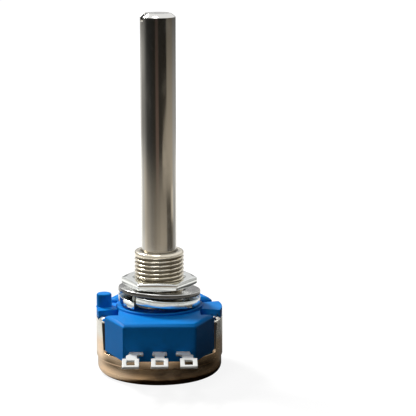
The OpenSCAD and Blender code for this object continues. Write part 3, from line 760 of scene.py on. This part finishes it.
# %% Mould the housing
plastic = Finish("blue_moulding", Specular_IOR_Level=0.05, Specular_Tint=(1.0, 0.6, 0.9, 1.0), IOR=1.5)
grain = plastic.noise(0.00009, detail=2.0)
flow = plastic.noise(0.004, detail=3.0)
rub = plastic.noise(0.0010, detail=4.0).between(0.55, 0.8)
plastic.finish_with(
    colour=plastic.blend(flow, (0.006, 0.225, 0.70), (0.007, 0.260, 0.78)),
    roughness=0.36 + 0.10 * grain - 0.06 * rub, height=grain, depth=3e-6)
softened("moulded_housing", "housing", "base", plastic, 0.00016, segments=3, angle=30)

# %% [markdown]
# ## The drawn cover
# Thin plated sheet drawn into a cup. Drawing leaves fine scores round the wall, the
# plating is warm and a little stained there, and it stays paler on the arms, which the
# die hardly touches. The edges sheared along the arms are bare, and their near-black
# colour is partly bare metal and partly painted shade. Three materials could do this; one
# whose colour follows the height and the arms' edges needs no seams.

# %% Draw the cover
plated = Finish("drawn_plate", Metallic=1.0)
scores = plated.noise(0.00010, (40, 40, 1), 2.0)
stain = plated.noise(0.0020, (2.5, 2.5, 0.6), 3.0, 0.5)
ARM_EDGE, ARM_TAPER, ARM_FOOT, ARM_HEAD = 6.06 * MM, 0.106, 5.2 * MM, 10.1 * MM
across_arm = abs(plated.y) + ARM_TAPER * plated.z
# The sheared edges of the arms: near black, for bare metal and painted shade together.
sheared_edge_and_shade = across_arm.between(ARM_EDGE, ARM_EDGE + 0.04 * MM) \
    * plated.z.between(ARM_FOOT, ARM_FOOT + 0.2 * MM) * (1 - plated.z.between(ARM_HEAD, ARM_HEAD + 0.2 * MM))
drawn_wall = plated.blend(stain, (0.70, 0.49, 0.30), (0.86, 0.65, 0.44))
plate = plated.blend(plated.z.between(6.2 * MM, 8.5 * MM), drawn_wall, (0.90, 0.87, 0.78))
plated.finish_with(
    colour=plated.blend(sheared_edge_and_shade, plate, (0.05, 0.045, 0.04)),
    roughness=0.17 + 0.06 * scores + 0.08 * stain.between(0.45, 0.8),
    height=scores, depth=6e-7)
softened("drawn_cover", "rear_cover", "base", plated, 0.00006, angle=28)

# %% [markdown]
# ## The solder lugs
#
# Stamped brass dipped in tin. The dip rounds every edge and dries with soft ripples and
# a few duller patches. Matt tin scatters light nearly as white paint does, so the finish
# is only slightly metallic: a mirror here would show nothing but the blue block behind.

# %% Tin the lugs
tin = Finish("tinned_brass", Metallic=0.1)
ripple = tin.noise(0.0006, detail=3.0)
frost = tin.noise(0.00025, detail=4.0).between(0.45, 0.8)
tin.finish_with(
    colour=tin.blend(frost, (0.96, 0.97, 0.94), (0.88, 0.89, 0.86)),
    roughness=0.36 + 0.20 * frost, height=ripple, depth=1.2e-5)
for side in ("left", "middle", "right"):
    softened("tinned_lug_" + side, "terminal_" + side, "base", tin, 0.00015,
             segments=3, angle=30)

# %% [markdown]
# ## Inside the casing
#
# These pieces are closed in, but the unit may be cut open or shown in parts, so each
# has the finish of the real one: a brown paper laminate with printed carbon and silver,
# black mouldings, a bronze wiper, brass rivets, nylon and fibre washers. Fourteen trees
# could be wired one by one, but two recipes with different numbers cover them all.


# %% Two recipes for inner finishes
def metal(name, dark, light, rough, size, stretch=(1, 1, 1)):
    """A worn metal: cloudy between two tones, duller where it is darker, and finely lined."""
    made = Finish(name, Metallic=1.0)
    clouds = made.noise(size, detail=5.0)
    marks = made.noise(size / 8, stretch, 2.0)
    made.finish_with(colour=made.blend(clouds, dark, light),
                     roughness=rough + 0.15 * (1 - clouds) + 0.05 * marks, height=marks, depth=1.5e-6)
    return made


def matt(name, dark, light, rough, size, stretch=(1, 1, 1), depth=4e-6, shine=0.3):
    """A plastic, paper or printed layer: speckled between two tones, with a fine grain."""
    made = Finish(name, Specular_IOR_Level=shine)
    speckle = made.noise(size, stretch, 5.0, 0.6)
    grain = made.noise(size / 6, stretch, 2.0)
    made.finish_with(colour=made.blend(speckle, dark, light),
                     roughness=rough + 0.2 * (grain - 0.5), height=grain, depth=depth)
    return made


print("recipes for metal and for matt pieces ready")

# %% Dress the inner pieces
brass = metal("rivet_brass", (0.60, 0.42, 0.20), (0.80, 0.62, 0.34), 0.22, 0.0008)
bronze = metal("spring_bronze", (0.62, 0.38, 0.22), (0.82, 0.58, 0.36), 0.20, 0.0012, (1, 20, 20))
zinc_steel = metal("plated_steel", (0.45, 0.46, 0.48), (0.66, 0.67, 0.70), 0.24, 0.0012, (1, 15, 15))
laminate = matt("paper_laminate", (0.16, 0.075, 0.03), (0.27, 0.14, 0.06), 0.45, 0.0012, (6, 1, 1))
carbon = matt("carbon_print", (0.010, 0.010, 0.011), (0.032, 0.032, 0.034), 0.55, 0.00025, depth=2e-6)
silver = matt("silver_print", (0.42, 0.42, 0.41), (0.60, 0.60, 0.58), 0.42, 0.0003, depth=2e-6, shine=0.6)
black = matt("black_moulding", (0.012, 0.012, 0.013), (0.026, 0.026, 0.028), 0.42, 0.0006)
nylon = matt("nylon_washer", (0.66, 0.64, 0.56), (0.76, 0.74, 0.67), 0.50, 0.0010, depth=2e-6)
fibre = matt("fibre_disc", (0.34, 0.20, 0.11), (0.46, 0.29, 0.17), 0.62, 0.0008, (8, 1, 1), depth=8e-6)

finishes = {"rivet_left": brass, "rivet_middle": brass, "rivet_right": brass, "element_board": laminate,
            "resistive_track": carbon, "collector_ring": silver, "pad_left": silver, "pad_right": silver,
            "rotor": black, "wiper_spring": bronze, "stop_plate": zinc_steel,
            "thrust_washer": nylon, "end_clip": zinc_steel, "insulator_disc": fibre}
for node, finish in finishes.items():
    for slot in nodes[node].material_slots:
        slot.material = finish.material
print(len(finishes), "inner pieces finished")
